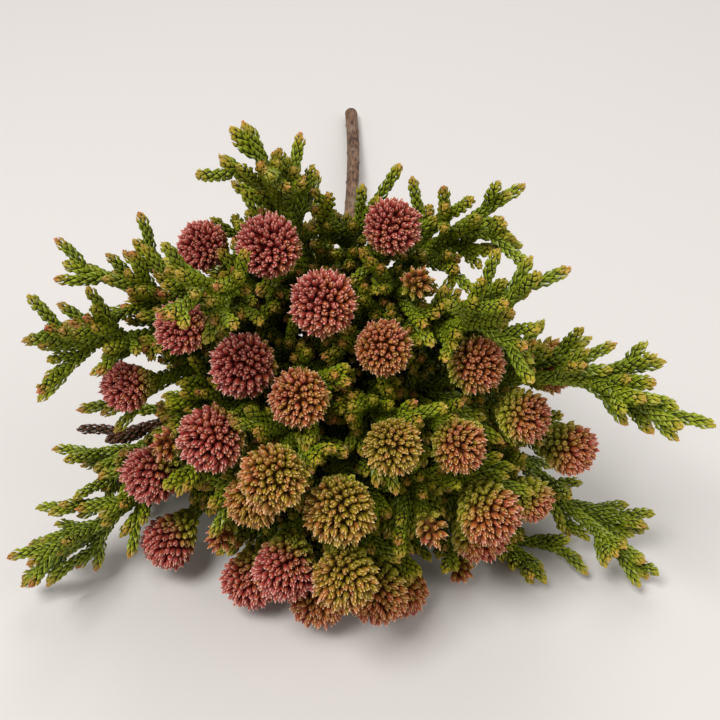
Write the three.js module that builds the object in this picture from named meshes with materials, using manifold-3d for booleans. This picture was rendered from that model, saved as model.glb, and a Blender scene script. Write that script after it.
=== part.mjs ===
// A cut stem of nebelia, a shrub of the brunia family, lying on its side on a table.
// Millimetres, +Z up. The flower heads face -Y and the cut end of the woody stalk points to +Y.
// The origin is the middle of the underside of the whole stem.

import * as THREE from "three";
import { mergeVertices } from "three/addons/utils/BufferGeometryUtils.js";
import Module from "manifold-3d";

// Main axis, from the cut end to the foot of the topmost head
const CUT_END = new THREE.Vector3(0, 0, 2.7);
const STALK_PULL = new THREE.Vector3(5, -100, 5);
const CROWN_PULL = new THREE.Vector3(-6, -205, 27);
const CROWN = new THREE.Vector3(0, -300, 47);
const WOOD_SHARE = 0.5; // share of the axis that is bare wood
const WOOD_RADIUS_CUT = 2.9;
const WOOD_RADIUS_TOP = 2.2;
const WOOD_SIDES = 9;
const WOOD_RINGS = 13;
const SCAR_HEIGHT = 0.35; // how far an old leaf scar swells the bark
const SCAR_TURN = 3; // sides from one ring's scars to the next ring's
const SCAR_SPACING = 8; // sides from one scar to the next on the same ring

// Flower heads, on a dome
const HEAD_COUNT = 37;
const SPIRAL_START = 0.6; // widens the spiral's middle, in heads
const DOME_RADIUS = 57; // middle of the dome to the middle of an outermost head
const DOME_DEPTH = 37; // how far the outermost heads lie behind the topmost
const DOME_POWER = 1.7; // 2 would make the dome a paraboloid, a lower number is more pointed
const DOME_TILT = (12 * Math.PI) / 180; // how far the dome faces up from the table
const HEAD_TURN = 0.2; // how far a head stands off the sunflower's spiral at most, in radians
const HEAD_STRAY = 5; // how far a head stands before or behind the dome at most
const HUB_BACK = 84; // the point behind the crown that the heads turn away from
const HEAD_RADIUS = 8.4; // the ripest head
const RIPE_SPREAD = 0.22; // how much smaller a ripe head may be, as a share
const RIM_SHRINK = 0.12; // how much smaller the heads are at the dome's rim, as a share
const YOUNG_HEAD_RADIUS = 4.6;
const YOUNG_HEADS = [5, 12, 17, 24, 31];
const HEAD_GAP = 2.0;
const PUSHES = 30; // rounds of pushing heads apart
const HEAD_SIDES = 6;
// Outline of a head from its neck to its top: along its axis and out from it, in head radii
const HEAD_OUTLINE = [
  [-1.36, 0.26],
  [-1.02, 0.44],
  [-0.62, 0.74],
  [-0.16, 0.91],
  [0.32, 0.88],
  [0.7, 0.62],
  [0.93, 0.26],
];
const HEAD_TOP = 1.0;
const BRACT_LIFT = 0.13; // how far a bract's tip stands out, in head radii
const BRACT_REACH = 0.95; // where a bract's tip lies, in rows from its foot

// Leafy twigs
const TWIG_RADIUS = 1.65; // over the leaf tips
const SHOOT_CORE = 1.35; // a side shoot under its leaves
const BRANCH_CORE = 1.5; // a leafy branch under its leaves
const AXIS_RADIUS = 2.3;
const HEAD_BRANCH_SHARE = 0.72; // the foot of a branch that carries a head, against the axis
const INNER_BRANCHING = 0.95; // where the branches of the innermost heads leave the axis, as a share of it
const OUTER_BRANCHING = 0.3; // how much lower those of the outermost heads leave it
const WIDEST_REACH = 1.1; // in dome radii
const BRANCHING_STRAY = 0.03;
const HEAD_LEAVING = [0.75, 0.65]; // how much along the axis and how much away from it they leave
const LEAF_LIFT = 0.42; // how far a leaf's tip stands out of its twig
const LEAF_PITCH = 7; // from one row of leaves to the next
const AXIS_PITCH = 12; // the same on the axis and on the branches that carry heads
const TWIG_SIDES = 3;
const ROOT_SHARE = 0.5; // a twig's root, inside its branch, against the twig's own radius
const LEAF_REACH = 0.85; // where a leaf's tip lies, in pitches from its foot
const SHORTEST_ROWS = 4; // rows of points along the shortest twig
const BLUNT_END = 0.45; // the end of a twig without a head, against its own radius
const BLUNT_RISE = 1.4; // how soon it widens from there
const SPRAY_BRANCHES = 14; // leafy branches without a head, round the dome's rim
const TABLE_ANGLES = [-0.62, -2.5]; // the first two of them point down and lie along the table
const TABLE_BRANCH_SHARE = 0.72;
const RIM_START = -0.3; // the others stand round the rest of the rim, from this angle to its mirror image
const RIM_TURN = 0.1; // how far one stands off its place in that row, in radians
const RIM_STEP = 0.09; // how far it turns at each try to get clear
const RIM_RADIUS = 74; // from the axis to the tips of those branches
const RIM_DEPTH = 52; // how far their tips lie behind the crown at most
const RIM_REACH = { shortest: 0.8, more: 0.3 }; // in rim radii
const RIM_BRANCHING = { lowest: 0.64, more: 0.26 }; // where they leave the axis, as a share of it
const RIM_LEAVING = [0.6, 0.8]; // how much along the axis and how much away from it they leave
const RIM_ARRIVING = [0.8, 0.7]; // how much away from the axis and how much along it their tips point
const RIM_RISE = 0.7; // how much of their tips' rise is kept
const TABLE_RISE = 0.35; // how much the tips rise that lie along the table
const CLEARANCE = 0.45; // between a twig and a head, or a twig and another twig
const OWN_BRANCH = 7; // so close to its root a shoot may touch its branch
const SAMPLE_STEP = 2.2; // between the points at which twigs are kept clear of each other
const FIRST_CHECK = 3; // of the points at which a new twig is checked, the first one away from its root
const LAST_CHECK = 9;
const NECK_BACK = 0.8; // the ball that stands for a head's neck lies so far behind its middle, in head radii
const NECK_BALL = 0.65;
const TRIES = 7;

// Side shoots: how many on one branch, between which shares of its length, and how long
const SPRAY_SHOOTS = { count: 3, seed: 100, low: 0.4, high: 0.92, shortest: 11, longest: 22 };
const HEAD_SHOOTS = { count: 1, seed: 300, low: 0.3, high: 0.85, shortest: 14, longest: 30 };
const AXIS_SHOOTS = { count: 4, seed: 500, low: 0.6, high: 0.95, shortest: 24, longest: 42 };
const SEED_STEP = 7; // from one branch's seed to the next
const SHOOT_STRAY = 0.35; // how far a shoot's root stands off its place, in places
const SHOOT_TURN = 0.4; // how far a shoot turns round its branch at each try, in golden angles
const SHOOT_CUT = 0.07; // how much shorter it gets at each try
const SHOOT_LEAVING = [0.78, 0.62]; // how much along its branch and how much away from it a shoot leaves
const SHOOT_ARRIVING = [0.95, 0.3]; // the same at its tip

// Table
const PRESS_DEPTH = 3.5; // how softly a low twig turns along the table
const TWIG_LOW = 0.9; // centre line of a twig that comes near the table
const TABLE_LOW = 0.45; // centre line of a twig whose underside is pressed flat by the weight
const HEAD_LOW = 0.4; // under the lowest head
const SEAT = 0.3; // gap between a head or the stalk and the twig that carries it
const TABLE_WIDTH = 900; // of the block that trims what would lie under the table
const TABLE_THICK = 100;

const GOLDEN_ANGLE = Math.PI * (3 - Math.sqrt(5));
const FORWARD = new THREE.Vector3(0, -1, 0);
const ACROSS = new THREE.Vector3(1, 0, 0);
const UPWARD = new THREE.Vector3(0, 0, 1).applyAxisAngle(ACROSS, -DOME_TILT);
const FACING = FORWARD.clone().applyAxisAngle(ACROSS, -DOME_TILT);

const wasm = await Module();
wasm.setup();

// A number from 0 to 1 that is always the same for the same two whole numbers
function noise(index, salt) {
  const value = Math.sin(index * 12.9898 + salt * 78.233) * 43758.5453;
  return value - Math.floor(value);
}

function spread(index, salt) {
  return 2 * noise(index, salt) - 1;
}

// Lifts a point that would hang lower than the table allows, so that the stem's underside lies flat
function press(point, low) {
  point.z = low + PRESS_DEPTH * Math.log1p(Math.exp((point.z - low) / PRESS_DEPTH));
  return point;
}

// A unit vector square to a direction, turned round it by an angle
function sideways(direction, angle) {
  const help = Math.abs(direction.z) < 0.8 ? new THREE.Vector3(0, 0, 1) : new THREE.Vector3(1, 0, 0);
  const right = new THREE.Vector3().crossVectors(direction, help).normalize();
  const over = new THREE.Vector3().crossVectors(direction, right);
  return right.multiplyScalar(Math.cos(angle)).addScaledVector(over, Math.sin(angle));
}

const axis = new THREE.CubicBezierCurve3(CUT_END, STALK_PULL, CROWN_PULL, CROWN);

// Heads stand on the dome like the seeds of a sunflower, pushed apart and pressed up by the table
function placeHeads() {
  const heads = [];
  for (let k = 0; k < HEAD_COUNT; k++) {
    const reach = k ? Math.sqrt((k + SPIRAL_START) / HEAD_COUNT) : 0;
    const angle = k * GOLDEN_ANGLE + HEAD_TURN * spread(k, 1);
    const ripe = HEAD_RADIUS * (1 - RIPE_SPREAD * noise(k, 3) - RIM_SHRINK * reach);
    const radius = YOUNG_HEADS.includes(k) ? YOUNG_HEAD_RADIUS : ripe;
    const foot = HEAD_OUTLINE[0][0] * (k ? HEAD_RADIUS : radius);
    const depth = DOME_DEPTH * reach ** DOME_POWER + (k ? HEAD_STRAY * spread(k, 2) : 0);
    const centre = CROWN.clone().addScaledVector(FACING, SEAT - foot - depth);
    centre.addScaledVector(ACROSS, DOME_RADIUS * reach * Math.cos(angle));
    centre.addScaledVector(UPWARD, DOME_RADIUS * reach * Math.sin(angle));
    if (k) press(centre, radius + HEAD_LOW);
    heads.push({ centre, radius });
  }
  for (let round = 0; round < PUSHES; round++) {
    for (let a = 0; a < HEAD_COUNT; a++) {
      for (let b = a + 1; b < HEAD_COUNT; b++) {
        const apart = heads[b].centre.clone().sub(heads[a].centre);
        const short = heads[a].radius + heads[b].radius + HEAD_GAP - apart.length();
        if (short <= 0) continue;
        apart.setLength(short / 2);
        heads[b].centre.add(apart);
        if (a > 0) heads[a].centre.sub(apart);
      }
    }
    for (const head of heads) head.centre.z = Math.max(head.centre.z, head.radius + HEAD_LOW);
  }
  const hub = CROWN.clone().addScaledVector(FACING, -HUB_BACK);
  for (const head of heads) {
    head.direction = head.centre.clone().sub(hub).normalize();
    head.neck = head.centre
      .clone()
      .addScaledVector(head.direction, HEAD_OUTLINE[0][0] * head.radius - SEAT);
  }
  heads[0].direction.copy(FACING);
  heads[0].neck.copy(CROWN);
  return heads;
}

// A unit vector between two others, nearer the one with the larger share
function blend(first, second, firstShare, secondShare) {
  return first.clone().multiplyScalar(firstShare).addScaledVector(second, secondShare).normalize();
}

// A curve that leaves a point in one direction and arrives at another point in another direction
function curveBetween(start, leaving, end, arriving, low) {
  const third = start.distanceTo(end) / 3;
  const first = start.clone().addScaledVector(leaving, third);
  const second = end.clone().addScaledVector(arriving, -third);
  return new THREE.CubicBezierCurve3(start.clone(), press(first, low), press(second, low), end.clone());
}

// The branch that carries a head leaves the axis lower down, the further out the head stands
function headBranch(head, k) {
  const out = head.centre.clone().sub(CROWN).projectOnPlane(FACING);
  const reach = out.length() / DOME_RADIUS;
  out.normalize();
  const lower = OUTER_BRANCHING * Math.min(reach, WIDEST_REACH) + BRANCHING_STRAY * noise(k, 4);
  const share = INNER_BRANCHING - lower;
  const start = axis.getPoint(share);
  const leaving = blend(axis.getTangent(share), out, ...HEAD_LEAVING);
  const curve = curveBetween(start, leaving, head.neck, head.direction, TWIG_LOW);
  const tip = head.radius * HEAD_OUTLINE[0][1];
  return { curve, foot: AXIS_RADIUS * HEAD_BRANCH_SHARE, tip, headed: true };
}

// A branch with leaves alone, which reaches out past the rim of the dome
function sprayBranch(q, attempt) {
  const rests = q < TABLE_ANGLES.length;
  const place = (q - TABLE_ANGLES.length + 0.5) / (SPRAY_BRANCHES - TABLE_ANGLES.length);
  const round = RIM_START + (Math.PI - 2 * RIM_START) * place + RIM_TURN * spread(q, 5);
  const angle = rests ? TABLE_ANGLES[q] : round + RIM_STEP * attempt * (attempt % 2 ? 1 : -1);
  const share = rests ? TABLE_BRANCH_SHARE : RIM_BRANCHING.lowest + RIM_BRANCHING.more * noise(q, 6 + attempt);
  const start = axis.getPoint(share);
  const out = ACROSS.clone().multiplyScalar(Math.cos(angle)).addScaledVector(UPWARD, Math.sin(angle));
  const reach = RIM_RADIUS * (RIM_REACH.shortest + RIM_REACH.more * noise(q, 7));
  const end = start.clone().addScaledVector(out, reach);
  end.y = CROWN.y + RIM_DEPTH * noise(q, 8);
  press(end, TWIG_LOW);
  const leaving = blend(axis.getTangent(share), out, ...RIM_LEAVING);
  const arriving = out.clone().multiplyScalar(RIM_ARRIVING[0]).addScaledVector(FACING, RIM_ARRIVING[1]);
  arriving.z = rests ? TABLE_RISE : RIM_RISE * arriving.z;
  const low = rests ? TABLE_LOW : TWIG_LOW;
  if (rests) end.z = low;
  const curve = curveBetween(start, leaving, end, arriving.normalize(), low);
  return { curve, foot: BRANCH_CORE, tip: BRANCH_CORE };
}

// A short leafy shoot on a branch: it leaves at a wide angle and bends forward
function sideShoot(parent, share, angle, length) {
  const start = parent.getPoint(share);
  const along = parent.getTangent(share);
  const aside = sideways(along, angle);
  const leaving = blend(along, aside, ...SHOOT_LEAVING);
  const arriving = blend(along, aside, ...SHOOT_ARRIVING);
  const end = start.clone().addScaledVector(leaving, length / 2).addScaledVector(arriving, length / 2);
  return curveBetween(start, leaving, press(end, TWIG_LOW), arriving, TWIG_LOW);
}

// Every twig of the stem, with the shoots turned or shortened until they are clear of heads and other twigs
function growTwigs(heads) {
  const crown = { curve: axis, from: WOOD_SHARE, foot: AXIS_RADIUS, tip: HEAD_RADIUS * HEAD_OUTLINE[0][1] };
  const twigs = [{ ...crown, headed: true }];
  const filled = [];

  function fill(twig) {
    const steps = Math.ceil(twig.curve.getLength() / SAMPLE_STEP);
    for (let i = 0; i <= steps; i++) {
      const share = i / steps;
      if (share >= (twig.from || 0)) filled.push(twig.curve.getPoint(share));
    }
  }

  // Two balls stand for a head: its widest part, and its neck behind that
  function clear(curve, least) {
    const root = curve.getPoint(0);
    const room = TWIG_RADIUS + CLEARANCE;
    for (let i = FIRST_CHECK; i <= LAST_CHECK; i++) {
      const point = curve.getPoint(i / LAST_CHECK);
      for (const head of heads) {
        const back = head.centre.clone().addScaledVector(head.direction, -NECK_BACK * head.radius);
        if (point.distanceTo(head.centre) < head.radius + room) return false;
        if (point.distanceTo(back) < NECK_BALL * head.radius + room) return false;
      }
      for (const other of filled) {
        if (other.distanceTo(root) > OWN_BRANCH && point.distanceTo(other) < least) return false;
      }
    }
    return true;
  }

  function grow(parent, k, shoots) {
    const { count, low, high, shortest, longest } = shoots;
    const seed = shoots.seed + k * SEED_STEP;
    for (let j = 0; j < count; j++) {
      const share = low + ((high - low) * (j + 0.5 + SHOOT_STRAY * spread(seed, j))) / count;
      const length = shortest + (longest - shortest) * noise(seed, j + 40);
      for (let attempt = 0; attempt < TRIES; attempt++) {
        const angle = (seed + j + attempt * SHOOT_TURN) * GOLDEN_ANGLE;
        const curve = sideShoot(parent.curve, share, angle, length * (1 - SHOOT_CUT * attempt));
        if (!clear(curve, 2 * TWIG_RADIUS + CLEARANCE)) continue;
        const twig = { curve, foot: SHOOT_CORE, tip: SHOOT_CORE };
        twigs.push(twig);
        fill(twig);
        break;
      }
    }
  }

  fill(twigs[0]);
  heads.slice(1).forEach((head, k) => twigs.push(headBranch(head, k + 1)));
  const bearing = twigs.slice();
  bearing.slice(1).forEach(fill);
  const leafy = [];
  for (let q = 0; q < SPRAY_BRANCHES; q++) {
    for (let attempt = 0; attempt < TRIES; attempt++) {
      const branch = sprayBranch(q, attempt);
      if (q >= TABLE_ANGLES.length && !clear(branch.curve, 2 * TWIG_RADIUS)) continue;
      leafy.push(branch);
      twigs.push(branch);
      fill(branch);
      break;
    }
  }
  leafy.forEach((branch, q) => grow(branch, q, SPRAY_SHOOTS));
  bearing.slice(1).forEach((branch, k) => grow(branch, k, HEAD_SHOOTS));
  grow(bearing[0], 0, AXIS_SHOOTS);
  return twigs;
}

// One closed solid covered in scales. Rows of points go round it, each row turned half a step from the last,
// and every diamond between four of them rises to the tip of one scale.
function scaleLattice(rows, sides, basePoint, tipPoint, foot, apex) {
  const points = [];
  const faces = [];
  const step = (2 * Math.PI) / sides;
  const turn = (row) => (row % 2) / 2;
  for (let row = 0; row < rows; row++) {
    for (let j = 0; j < sides; j++) points.push(basePoint(row, (j + turn(row)) * step));
  }
  const at = (row, j) => row * sides + ((j + sides) % sides);
  const last = rows - 1;
  for (let row = 1; row < last; row++) {
    for (let j = 0; j < sides; j++) {
      const left = row % 2 ? at(row, j - 1) : at(row, j);
      const right = row % 2 ? at(row, j) : at(row, j + 1);
      const bottom = at(row - 1, j);
      const top = at(row + 1, j);
      const tip = points.push(tipPoint(row, (j + turn(row - 1)) * step)) - 1;
      faces.push(bottom, right, tip, right, top, tip, top, left, tip, left, bottom, tip);
    }
  }
  const footIndex = points.push(foot) - 1;
  const apexIndex = points.push(apex) - 1;
  for (let j = 0; j < sides; j++) {
    faces.push(at(0, j + 1), at(0, j), footIndex, at(0, j), at(0, j + 1), at(1, j));
    const under = last % 2 ? at(last - 1, j + 1) : at(last - 1, j);
    faces.push(at(last, j), at(last, j + 1), apexIndex, under, at(last, j + 1), at(last, j));
  }
  const geometry = new THREE.BufferGeometry().setFromPoints(points);
  return geometry.setIndex(faces);
}

// A leafy twig along its curve
function twigGeometry(twig) {
  const from = twig.from || 0;
  const length = twig.curve.getLength() * (1 - from);
  const rows = Math.max(SHORTEST_ROWS, Math.round(length / (twig.headed ? AXIS_PITCH : LEAF_PITCH)) + 1);
  const shareOf = (row) => from + ((1 - from) * row) / (rows - 1);
  const place = (row, angle, radius) => {
    const share = Math.min(shareOf(row), 1);
    const centre = twig.curve.getPoint(share);
    return centre.addScaledVector(sideways(twig.curve.getTangent(share), angle), radius);
  };
  const core = (row) => {
    const share = row / (rows - 1);
    const radius = twig.foot + (twig.tip - twig.foot) * share;
    const rounding = twig.headed ? 1 : Math.min(1, BLUNT_END + BLUNT_RISE * (1 - share));
    return row === 0 && twig.curve !== axis ? radius * ROOT_SHARE : radius * rounding;
  };
  return scaleLattice(
    rows,
    TWIG_SIDES,
    (row, angle) => place(row, angle, core(row)),
    (row, angle) => place(row + LEAF_REACH, angle, core(row) + LEAF_LIFT),
    twig.curve.getPoint(from),
    twig.curve.getPoint(1),
  );
}

// A flower head along +Z about its own centre
function headGeometry(radius) {
  const around = (along, out, angle) =>
    new THREE.Vector3(out * Math.cos(angle), out * Math.sin(angle), along).multiplyScalar(radius);
  const last = HEAD_OUTLINE.length - 1;
  const tipPoint = (row, angle) => {
    const [along, out] = HEAD_OUTLINE[row];
    const [nextAlong, nextOut] = HEAD_OUTLINE[row + 1];
    const rise = new THREE.Vector2(nextAlong - along, nextOut - out);
    const normal = new THREE.Vector2(-rise.y, rise.x).normalize();
    return around(
      along + BRACT_REACH * rise.x + BRACT_LIFT * normal.x,
      out + BRACT_REACH * rise.y + BRACT_LIFT * normal.y,
      angle,
    );
  };
  return scaleLattice(
    last + 1,
    HEAD_SIDES,
    (row, angle) => around(...HEAD_OUTLINE[row], angle),
    tipPoint,
    around(HEAD_OUTLINE[0][0], 0, 0),
    around(HEAD_TOP, 0, 0),
  );
}

// The bare woody stalk: a tapered rod with a straight cut, swollen at its old leaf scars
function stalkGeometry() {
  const points = [];
  const faces = [];
  const end = WOOD_SHARE - SEAT / axis.getLength();
  for (let ring = 0; ring <= WOOD_RINGS; ring++) {
    const share = (end * ring) / WOOD_RINGS;
    const centre = axis.getPoint(share);
    const radius = THREE.MathUtils.lerp(WOOD_RADIUS_CUT, WOOD_RADIUS_TOP, ring / WOOD_RINGS);
    for (let j = 0; j < WOOD_SIDES; j++) {
      const scarred = ring > 0 && ring < WOOD_RINGS && (j + ring * SCAR_TURN) % SCAR_SPACING === 0;
      const direction = sideways(ring ? axis.getTangent(share) : FORWARD, (j / WOOD_SIDES) * 2 * Math.PI);
      points.push(centre.clone().addScaledVector(direction, radius + (scarred ? SCAR_HEIGHT : 0)));
    }
  }
  const at = (ring, j) => ring * WOOD_SIDES + (j % WOOD_SIDES);
  for (let ring = 0; ring < WOOD_RINGS; ring++) {
    for (let j = 0; j < WOOD_SIDES; j++) {
      faces.push(at(ring, j), at(ring, j + 1), at(ring + 1, j + 1));
      faces.push(at(ring, j), at(ring + 1, j + 1), at(ring + 1, j));
    }
  }
  const cut = points.push(axis.getPoint(0)) - 1;
  const top = points.push(axis.getPoint(end)) - 1;
  for (let j = 0; j < WOOD_SIDES; j++) {
    faces.push(at(0, j + 1), at(0, j), cut, at(WOOD_RINGS, j), at(WOOD_RINGS, j + 1), top);
  }
  return new THREE.BufferGeometry().setFromPoints(points).setIndex(faces);
}

function solidOf(geometry) {
  const bare = geometry.clone();
  bare.deleteAttribute("normal");
  bare.deleteAttribute("uv");
  const merged = mergeVertices(bare, 1e-4);
  return new wasm.Manifold(
    new wasm.Mesh({
      numProp: 3,
      vertProperties: merged.attributes.position.array,
      triVerts: new Uint32Array(merged.index.array),
    }),
  );
}

function geometryOf(solid) {
  const mesh = solid.getMesh();
  const geometry = new THREE.BufferGeometry();
  geometry.setAttribute("position", new THREE.BufferAttribute(mesh.vertProperties, 3));
  geometry.setIndex(new THREE.BufferAttribute(mesh.triVerts, 1));
  geometry.computeVertexNormals();
  return geometry;
}

// The solid with everything under the table cut away, and with its sealed hollows filled
function trimmed(solid) {
  const under = new THREE.BoxGeometry(TABLE_WIDTH, TABLE_WIDTH, TABLE_THICK);
  under.translate(0, 0, -TABLE_THICK / 2);
  const bodies = solid.subtract(solidOf(under)).decompose();
  return bodies.sort((a, b) => b.volume() - a.volume())[0];
}

const leafGreen = new THREE.MeshStandardMaterial({ color: 0x4f6b1e, roughness: 0.6, metalness: 0 });
const bractRed = new THREE.MeshStandardMaterial({ color: 0x8f3d38, roughness: 0.5, metalness: 0 });
const barkBrown = new THREE.MeshStandardMaterial({ color: 0x6a4a33, roughness: 0.85, metalness: 0 });

const heads = placeHeads();
const twigs = growTwigs(heads);
const stem = new THREE.Group();

const stalk = new THREE.Mesh(geometryOf(trimmed(solidOf(stalkGeometry()))), barkBrown);
stalk.name = "woody_stalk";
stem.add(stalk);

const leafySolid = twigs.map((twig) => solidOf(twigGeometry(twig))).reduce((all, one) => all.add(one));
const leafy = new THREE.Mesh(geometryOf(trimmed(leafySolid)), leafGreen);
leafy.name = "leafy_spray";
stem.add(leafy);

heads.forEach((head, k) => {
  const mesh = new THREE.Mesh(headGeometry(head.radius), bractRed);
  mesh.name = `head_${String(k + 1).padStart(2, "0")}`;
  mesh.position.copy(head.centre);
  mesh.quaternion.setFromUnitVectors(new THREE.Vector3(0, 0, 1), head.direction);
  stem.add(mesh);
});

// The whole stem is moved so that the middle of its outline on the table is the origin
const extent = new THREE.Box3().setFromObject(stem, true);
const middle = extent.getCenter(new THREE.Vector3());
stem.position.set(-middle.x, -middle.y, -extent.min.z);
const part = new THREE.Group();
part.add(stem);

export default part;
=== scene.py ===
# A cut stem of nebelia lying on a table: bark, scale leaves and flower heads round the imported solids.
# The plan of heads and twigs is worked out in millimetres, and every mesh is in metres.
import math
from collections import namedtuple
from contextlib import contextmanager
from functools import partial

import bpy
import numpy as np
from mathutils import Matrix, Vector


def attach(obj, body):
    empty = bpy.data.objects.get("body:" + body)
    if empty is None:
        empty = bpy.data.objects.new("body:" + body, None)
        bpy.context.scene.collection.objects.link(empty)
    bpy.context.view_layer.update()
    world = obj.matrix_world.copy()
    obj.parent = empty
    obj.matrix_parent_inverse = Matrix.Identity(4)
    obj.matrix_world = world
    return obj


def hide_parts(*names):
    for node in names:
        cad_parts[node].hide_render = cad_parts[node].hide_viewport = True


bl_info = {
    "name": "Nebelia stem",
    "version": (1, 0, 0),
    "blender": (4, 5, 0),
    "location": "View3D > Sidebar > Nebelia",
    "description": "Models the bark, scale leaves and flower heads of a cut nebelia stem",
    "category": "Add Mesh",
}

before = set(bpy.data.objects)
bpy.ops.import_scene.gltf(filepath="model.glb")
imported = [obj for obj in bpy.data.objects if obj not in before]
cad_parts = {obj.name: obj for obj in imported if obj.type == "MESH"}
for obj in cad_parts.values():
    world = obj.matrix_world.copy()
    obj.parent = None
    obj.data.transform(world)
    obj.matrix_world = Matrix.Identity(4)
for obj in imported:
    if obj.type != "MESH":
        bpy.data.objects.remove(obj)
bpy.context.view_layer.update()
MM = 0.001

# Main axis, from the cut end to the foot of the topmost head
CUT_END = np.array([0.0, 0.0, 2.7])
STALK_PULL = np.array([5.0, -100.0, 5.0])
CROWN_PULL = np.array([-6.0, -205.0, 27.0])
CROWN = np.array([0.0, -300.0, 47.0])
WOOD_SHARE = 0.5
WOOD_RADIUS_CUT = 2.9
WOOD_RADIUS_TOP = 2.2

# Flower heads, on a dome
HEAD_COUNT = 37
SPIRAL_START = 0.6
DOME_RADIUS = 57
DOME_DEPTH = 37
DOME_POWER = 1.7
DOME_TILT = math.radians(12)
HEAD_TURN = 0.2
HEAD_STRAY = 5
HUB_BACK = 84
HEAD_RADIUS = 8.4
RIPE_SPREAD = 0.22
RIM_SHRINK = 0.12
YOUNG_HEAD_RADIUS = 4.6
YOUNG_HEADS = (5, 12, 17, 24, 31)
HEAD_GAP = 2.0
PUSHES = 30
HEAD_FOOT = -1.36
FOOT_RADIUS = 0.26
HEAD_LOW = 0.4
SEAT = 0.3

# Branches that carry a head. They leave the axis the lower down, the further out the head stands
AXIS_RADIUS = 2.3
HEAD_BRANCH_SHARE = 0.72
INNER_BRANCHING = 0.95
OUTER_BRANCHING = 0.3
WIDEST_REACH = 1.1
BRANCHING_STRAY = 0.03
HEAD_LEAVING = (0.75, 0.65)

# Leafy branches round the rim. The first two point down and lie along the table
BRANCH_CORE = 1.5
SPRAY_BRANCHES = 14
TABLE_ANGLES = (-0.62, -2.5)
TABLE_BRANCH_SHARE = 0.72
TABLE_RISE = 0.35
RIM_START = -0.3
RIM_TURN = 0.1
RIM_STEP = 0.09
RIM_RADIUS = 74
RIM_DEPTH = 52
RIM_REACH = (0.8, 0.3)
RIM_BRANCHING = (0.64, 0.26)
RIM_LEAVING = (0.6, 0.8)
RIM_ARRIVING = (0.8, 0.7)
RIM_RISE = 0.7

# Space round a twig, and the points at which a new one is checked
TWIG_RADIUS = 1.65
CLEARANCE = 0.45
OWN_BRANCH = 7
SAMPLE_STEP = 2.2
FIRST_CHECK = 3
LAST_CHECK = 9
NECK_BACK = 0.8
NECK_BALL = 0.65
TRIES = 7
PRESS_DEPTH = 3.5
TWIG_LOW = 0.9
TABLE_LOW = 0.45
LENGTH_POINTS = 201

# Side shoots: how many on one branch, their seed, from and to which share of it, least and most length
SPRAY_SHOOTS = (3, 100, 0.4, 0.92, 11, 22)
HEAD_SHOOTS = (1, 300, 0.3, 0.85, 14, 30)
AXIS_SHOOTS = (4, 500, 0.6, 0.95, 24, 42)
SHOOT_CORE = 1.35
SEED_STEP = 7
LENGTH_SALT = 40
SHOOT_STRAY = 0.35
SHOOT_TURN = 0.4
SHOOT_CUT = 0.07
SHOOT_LEAVING = (0.78, 0.62)
SHOOT_ARRIVING = (0.95, 0.3)

# Finer shoots between those, which only the looks have
FINE_ON_HEAD_BRANCH = (9, 1300, 0.34, 0.93, 9, 24)
FINE_ON_BRANCH = (11, 2100, 0.3, 0.95, 9, 22)
FINE_ON_AXIS = (12, 2900, 0.56, 0.97, 16, 36)
FORKS = (3, 3700, 0.25, 0.8, 6, 13)
FINE_CLEARANCE = 2.2
FINE_REACH = 4.5
SLENDER = {"fine": 0.9, "fork": 0.8}
# The one twig that has dried with its forks, in the order in which they grow
DRY_TWIG = 84

Head = namedtuple("Head", "centre radius direction neck young")

GOLDEN_ANGLE = math.pi * (3 - math.sqrt(5))
ACROSS = np.array([1.0, 0.0, 0.0])
TALL = np.array([0.0, 0.0, 1.0])
STEEP = 0.8
UPWARD = np.array([0.0, math.sin(DOME_TILT), math.cos(DOME_TILT)])
FACING = np.array([0.0, -math.cos(DOME_TILT), math.sin(DOME_TILT)])

# Seeds of the random draws, what keeps the looks off the table, and how near two points are the same
SEEDS = {"leaves": 17, "bracts": 5017, "withered": 9017}
TABLE_GAP = 0.02
LOOKS_LOW = 1.5
LOOKS_SHARP = 3.0
SAME_POINT = 1e-4
SAME_LEVEL = 0.01

# Scale leaf. Each ring has its height, half width, half thickness and bow, in millimetres
LEAF_LENGTH = 2.4
LEAF_RINGS = ((0.0, 0.0, 0.0, 0.0), (1.05, 0.62, 0.46, 0.1))
LEAF_SIDES = 3
LEAF_LENGTH_SPREAD = 0.12
LEAF_LIFT = 8
LEAF_LIFT_SPREAD = 3
LEAF_START = 0.6
FEWEST_LEAVES = 14

# The end of a shoot, where its leaves get shorter and close over it
END_ROUNDING = 2.4
END_NARROWING = 0.85
END_LEAN = 38
END_LEAN_POWER = 1.5
END_LEAF = 0.62

# Cores of the twigs, under their leaves
CORE_SHARE = 0.76
CORE_STEP = 4
CORE_TIP = 0.3
FEWEST_STEPS = 3
RUN_POINTS = 90

# How fresh the leaves are at the foot and the tip of a twig, from 0 to 1
FRESHNESS = {
    "axis": (0.0, 0.2),
    "head_branch": (0.05, 0.4),
    "branch": (0.15, 0.65),
    "shoot": (0.2, 0.8),
    "fine": (0.25, 0.9),
    "fork": (0.35, 1.0),
}
FRESHNESS_POWER = 1.4
FRESHNESS_SPREAD = 0.12

# The orange to red colour of the last leaves of a shoot, redder towards the left
BLUSH_LENGTH = 3.2
BLUSH_POWER = 0.7
BLUSH_LEAST = 0.3
RED_ENDS = 0.4
RED_ENDS_SLOPE = 0.008
RED_ENDS_SPREAD = 0.45

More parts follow.
